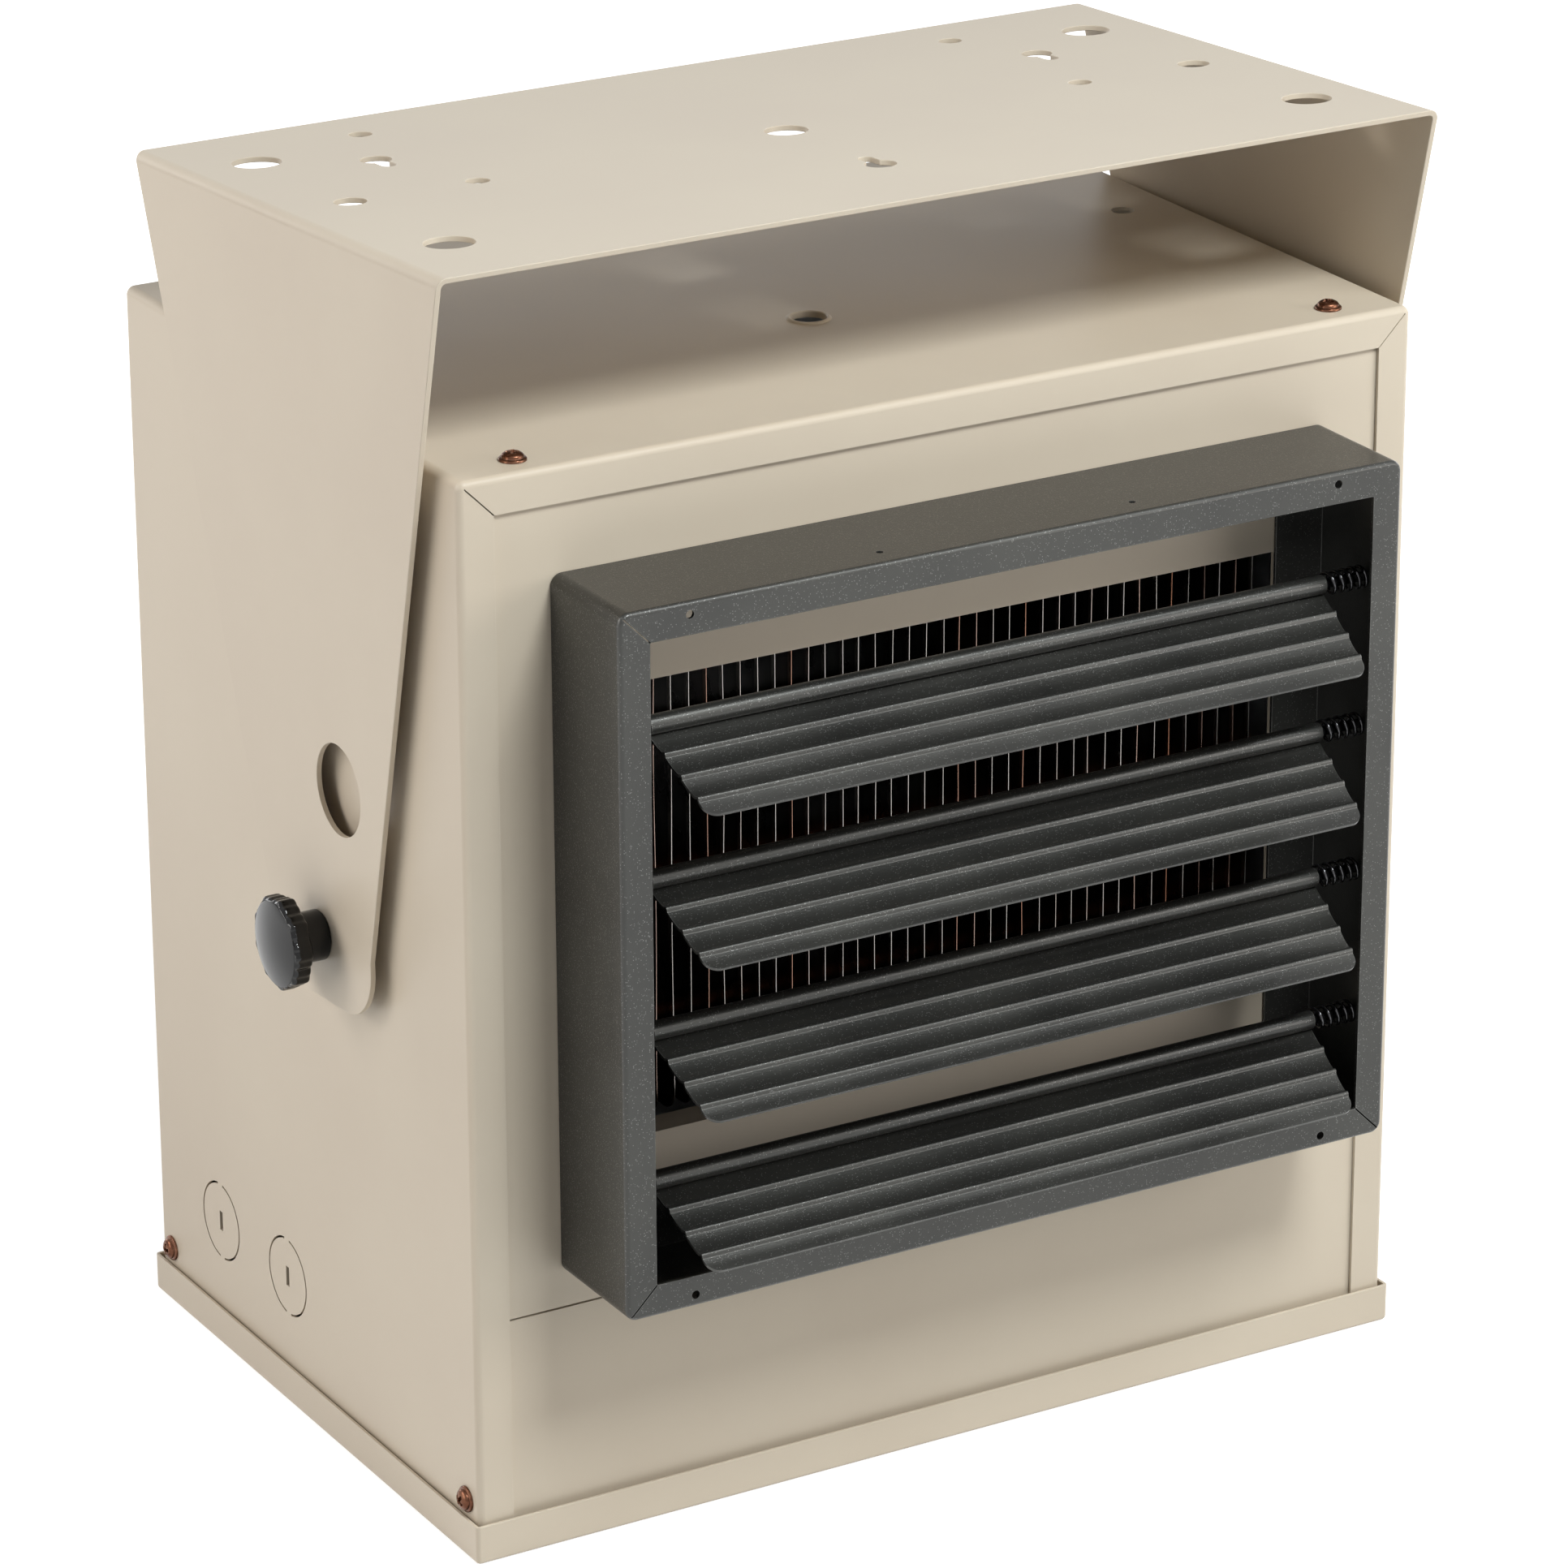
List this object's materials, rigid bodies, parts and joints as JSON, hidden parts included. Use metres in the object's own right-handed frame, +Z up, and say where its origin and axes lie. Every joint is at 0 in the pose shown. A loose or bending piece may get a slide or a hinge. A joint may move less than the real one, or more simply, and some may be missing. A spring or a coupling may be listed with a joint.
{
  "type": "ceiling mounted fan heater",
  "caption": "Box-shaped electric fan heater that tilts in a yoke bracket, with pivoting louvre blades in front of a finned heating element and a fan behind it.",
  "frame": {"origin": "middle of the bounding box, at the tray's underside", "axes": "+X right as seen from the front, +Y from the louvre to the air inlet at the back, +Z up"},
  "size_m": [0.407, 0.3006, 0.4375],
  "materials": {
    "beige_paint": "semi-gloss enamel",
    "dark_powder_coat": "fine textured powder coat",
    "galvanised_sheet": "galvanised",
    "brown_screw": "brown plated",
    "black_plastic": "glossy moulded",
    "black_steel": "black oxide",
    "bright_steel": "zinc plated",
    "brazed_fins": "copper brazed",
    "aluminium": "mill finish",
    "motor_enamel": "enamel",
    "dark_phenolic": "moulded",
    "copper_winding": "varnished"
  },
  "bodies": {
    "cabinet": {"cabinet_wrapper": "beige_paint", "outlet_panel": "beige_paint", "access_panel": "beige_paint", "bottom_tray": "beige_paint", "rear_panel": "beige_paint", "louvre_frame": "dark_powder_coat", "chamber_deck": "galvanised_sheet", "element_end_plate_left": "galvanised_sheet", "element_end_plate_right": "galvanised_sheet", "fan_shroud": "galvanised_sheet", "top_screw_left": "brown_screw", "top_screw_right": "brown_screw", "side_screw_left_front": "brown_screw", "side_screw_left_rear": "brown_screw", "side_screw_right_front": "brown_screw", "side_screw_right_rear": "brown_screw", "rear_screw_left_lower": "brown_screw", "rear_screw_left_upper": "brown_screw", "rear_screw_right_lower": "brown_screw", "rear_screw_right_upper": "brown_screw", "guard_screw_1": "brown_screw", "guard_screw_2": "brown_screw", "guard_screw_3": "brown_screw", "guard_screw_4": "brown_screw", "pivot_spacer_left": "black_plastic", "pivot_spacer_right": "black_plastic", "pivot_rod_1": "black_steel", "pivot_rod_2": "black_steel", "pivot_rod_3": "black_steel", "pivot_rod_4": "black_steel", "spring_left_1": "black_steel", "spring_left_2": "black_steel", "spring_left_3": "black_steel", "spring_left_4": "black_steel", "spring_right_1": "black_steel", "spring_right_2": "black_steel", "spring_right_3": "black_steel", "spring_right_4": "black_steel", "fan_guard": "black_steel", "clinch_nut_left": "bright_steel", "clinch_nut_right": "bright_steel", "ground_lug": "bright_steel", "heating_element": "brazed_fins", "fan_motor": "motor_enamel", "terminal_block": "dark_phenolic", "contactor": "dark_phenolic", "thermal_cutout": "dark_phenolic", "control_transformer": "copper_winding"},
    "bracket": {"mounting_bracket": "beige_paint"},
    "left_knob": {"knob_left": "black_plastic"},
    "right_knob": {"knob_right": "black_plastic"},
    "blade_1": {"louvre_blade_1": "dark_powder_coat"},
    "blade_2": {"louvre_blade_2": "dark_powder_coat"},
    "blade_3": {"louvre_blade_3": "dark_powder_coat"},
    "blade_4": {"louvre_blade_4": "dark_powder_coat"},
    "fan": {"fan_propeller": "aluminium", "motor_shaft": "bright_steel"}
  },
  "joints": [
    {"name": "bracket_tilt", "type": "hinge", "parent": "cabinet", "child": "bracket", "pos_m": [0, -0.00148, 0.1907], "axis": [-1, 0, 0], "range_deg": [-93.4, 86.6]},
    {"name": "left_knob_turn", "type": "hinge", "parent": "cabinet", "child": "left_knob", "pos_m": [-0.19, -0.00148, 0.1907], "axis": [-1, 0, 0], "continuous": true},
    {"name": "right_knob_turn", "type": "hinge", "parent": "cabinet", "child": "right_knob", "pos_m": [0.19, -0.00148, 0.1907], "axis": [1, 0, 0], "continuous": true},
    {"name": "blade_1_tilt", "type": "hinge", "parent": "cabinet", "child": "blade_1", "pos_m": [0, -0.11768, 0.2902], "axis": [1, 0, 0], "range_deg": [-68, 60]},
    {"name": "blade_2_tilt", "type": "hinge", "parent": "cabinet", "child": "blade_2", "pos_m": [0, -0.11768, 0.2384], "axis": [1, 0, 0], "range_deg": [-68, 60]},
    {"name": "blade_3_tilt", "type": "hinge", "parent": "cabinet", "child": "blade_3", "pos_m": [0, -0.11768, 0.1866], "axis": [1, 0, 0], "range_deg": [-68, 60]},
    {"name": "blade_4_tilt", "type": "hinge", "parent": "cabinet", "child": "blade_4", "pos_m": [0, -0.11768, 0.1348], "axis": [1, 0, 0], "range_deg": [-68, 22]},
    {"name": "fan_spin", "type": "hinge", "parent": "cabinet", "child": "fan", "pos_m": [0, 0.04612, 0.22205], "axis": [0, -1, 0], "continuous": true}
  ]
}
